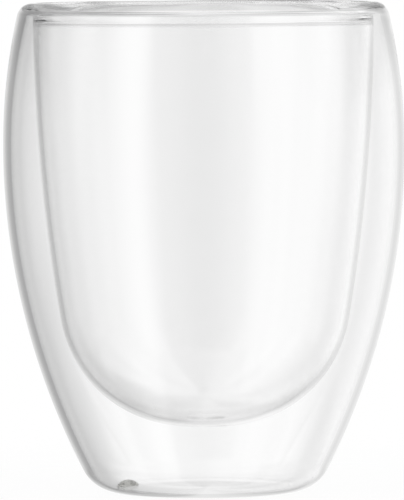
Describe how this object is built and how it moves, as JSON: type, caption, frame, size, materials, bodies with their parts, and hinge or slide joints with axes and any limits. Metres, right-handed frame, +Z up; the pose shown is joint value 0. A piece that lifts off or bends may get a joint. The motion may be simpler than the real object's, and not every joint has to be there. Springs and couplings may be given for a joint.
{
  "type": "double walled glass cup",
  "caption": "Clear double walled glass cup, belly-shaped, with a round inner bowl hung from the rim over a sealed air space and a vent plug in the floor.",
  "frame": {"origin": "centre of the foot ring, on the plane that the cup stands on", "axes": "+Z up along the cup's axis, towards the mouth; -Y towards the viewer of the picture, with the vent plug on the -X side"},
  "size_m": [0.085, 0.085, 0.1035],
  "materials": {
    "shell_glass": "clear blown borosilicate, polished by the flame",
    "bowl_glass": "clear blown borosilicate, polished by the flame",
    "vent_silicone": "translucent grey silicone, satin"
  },
  "bodies": {
    "root": {"outer_shell": "shell_glass", "inner_bowl": "bowl_glass", "vent_plug": "vent_silicone"}
  },
  "joints": []
}
